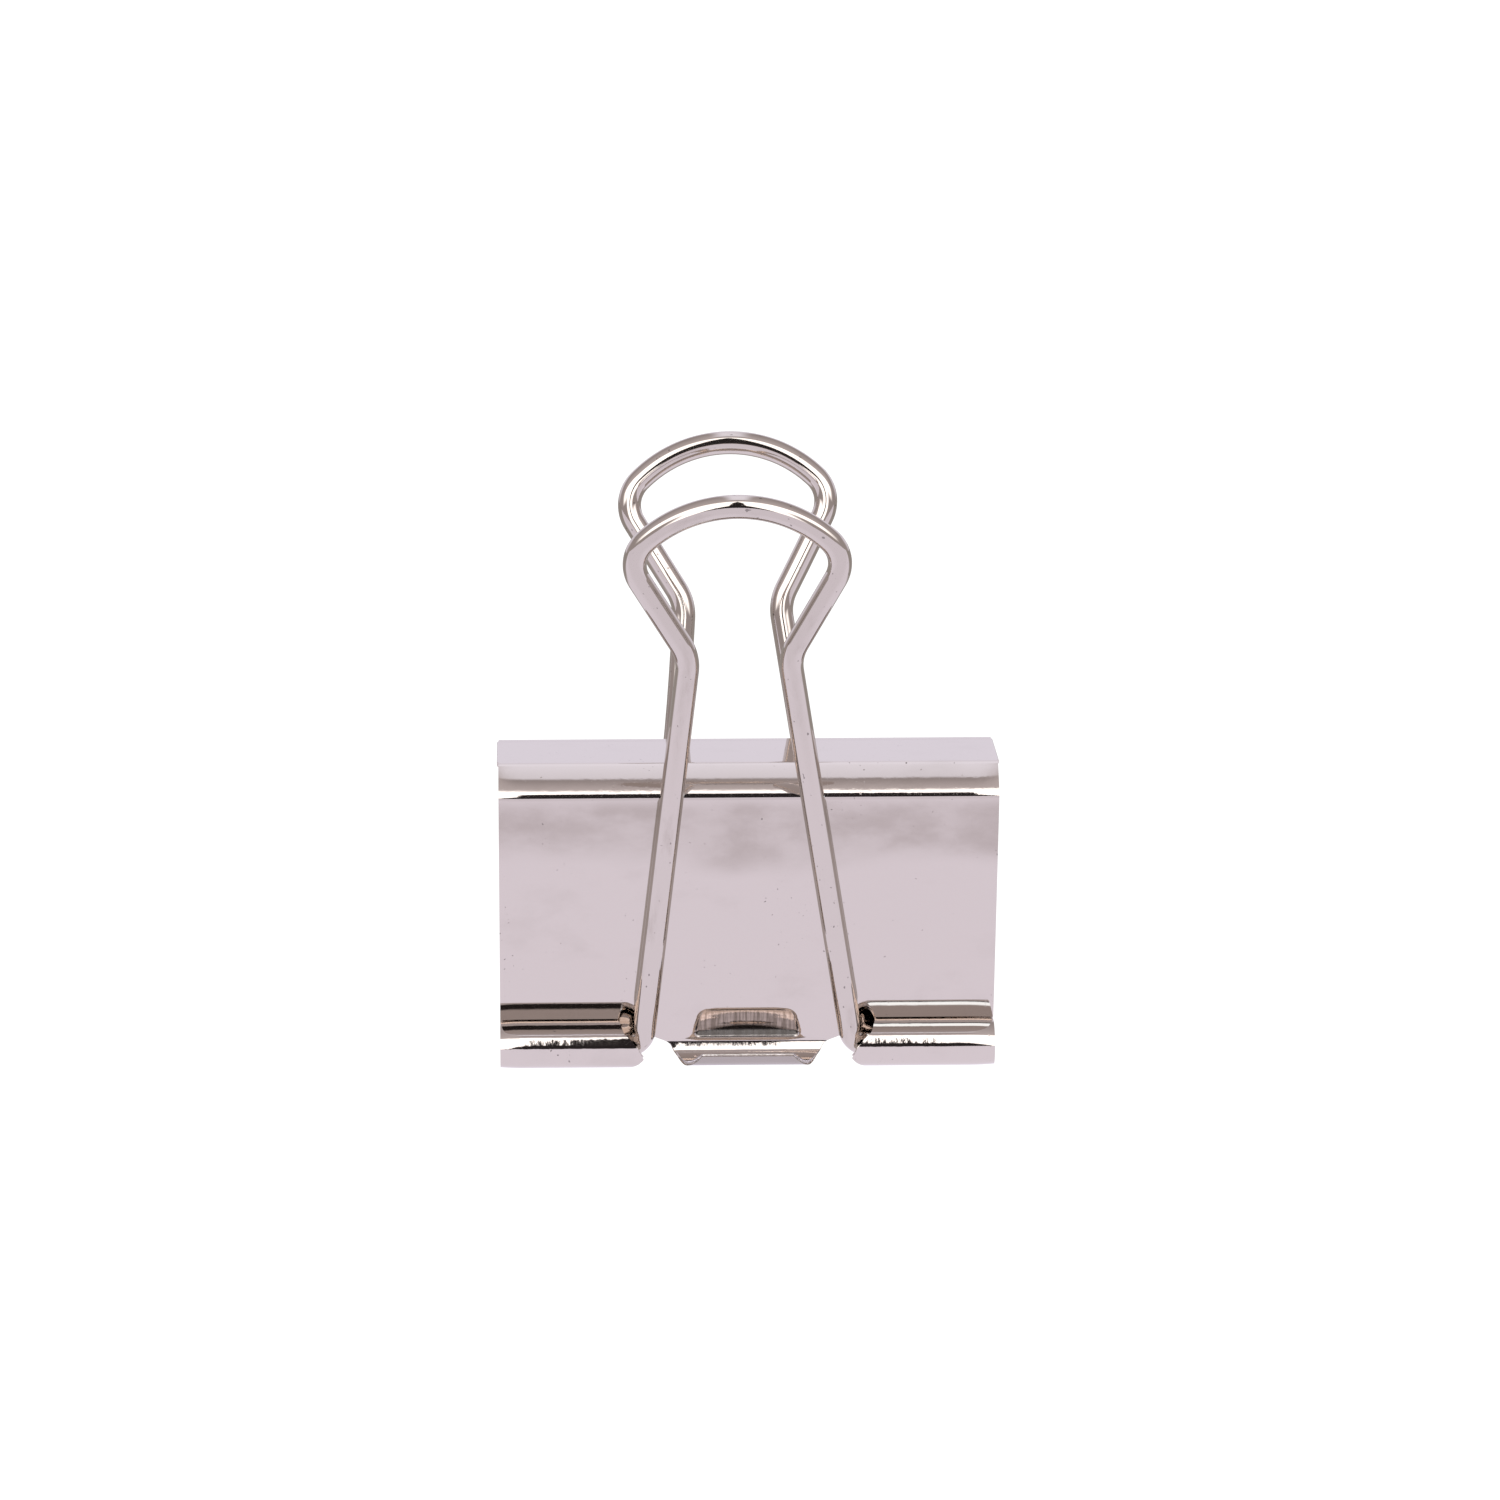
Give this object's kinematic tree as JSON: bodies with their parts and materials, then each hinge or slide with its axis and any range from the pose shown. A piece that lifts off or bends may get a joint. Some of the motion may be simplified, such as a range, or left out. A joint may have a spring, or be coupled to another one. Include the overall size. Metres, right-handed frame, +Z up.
{
  "type": "foldback clip",
  "caption": "Sprung steel foldback clip with a flat spine, leaning jaws, rolled curls along the mouth, and wire handles that turn in the curls and lever the jaws open.",
  "frame": {"origin": "middle of the clip on the surface that its curls stand on", "axes": "+X along the mouth, -Y towards the front jaw, +Z up from the mouth through the spine to the handles' loops"},
  "size_m": [0.051, 0.0406, 0.0622],
  "materials": {
    "nickel_sheet": "polished nickel plate on spring steel sheet, with faint smudges, pits and scratches",
    "nickel_wire": "polished nickel plate on spring steel wire, with fine drawing lines"
  },
  "bodies": {
    "spine": {"spine_plate": "nickel_sheet"},
    "front_jaw": {"front_jaw": "nickel_sheet"},
    "rear_jaw": {"rear_jaw": "nickel_sheet"},
    "front_handle": {"front_handle": "nickel_wire"},
    "rear_handle": {"rear_handle": "nickel_wire"}
  },
  "joints": [
    {"name": "front_jaw_flex", "type": "hinge", "parent": "spine", "child": "front_jaw", "pos_m": [0, -0.0065, 0.0326], "axis": [-1, 0, 0], "range_deg": [0, 23], "stiffness_Nm_per_rad": 3.7},
    {"name": "rear_jaw_flex", "type": "hinge", "parent": "spine", "child": "rear_jaw", "pos_m": [0, 0.0065, 0.0326], "axis": [1, 0, 0], "range_deg": [0, 23], "stiffness_Nm_per_rad": 3.7},
    {"name": "front_handle_swing", "type": "hinge", "parent": "front_jaw", "child": "front_handle", "pos_m": [0, -0.0026, 0.0022], "axis": [1, 0, 0], "range_deg": [0, 164]},
    {"name": "rear_handle_swing", "type": "hinge", "parent": "rear_jaw", "child": "rear_handle", "pos_m": [0, 0.0026, 0.0022], "axis": [-1, 0, 0], "range_deg": [0, 164]}
  ]
}
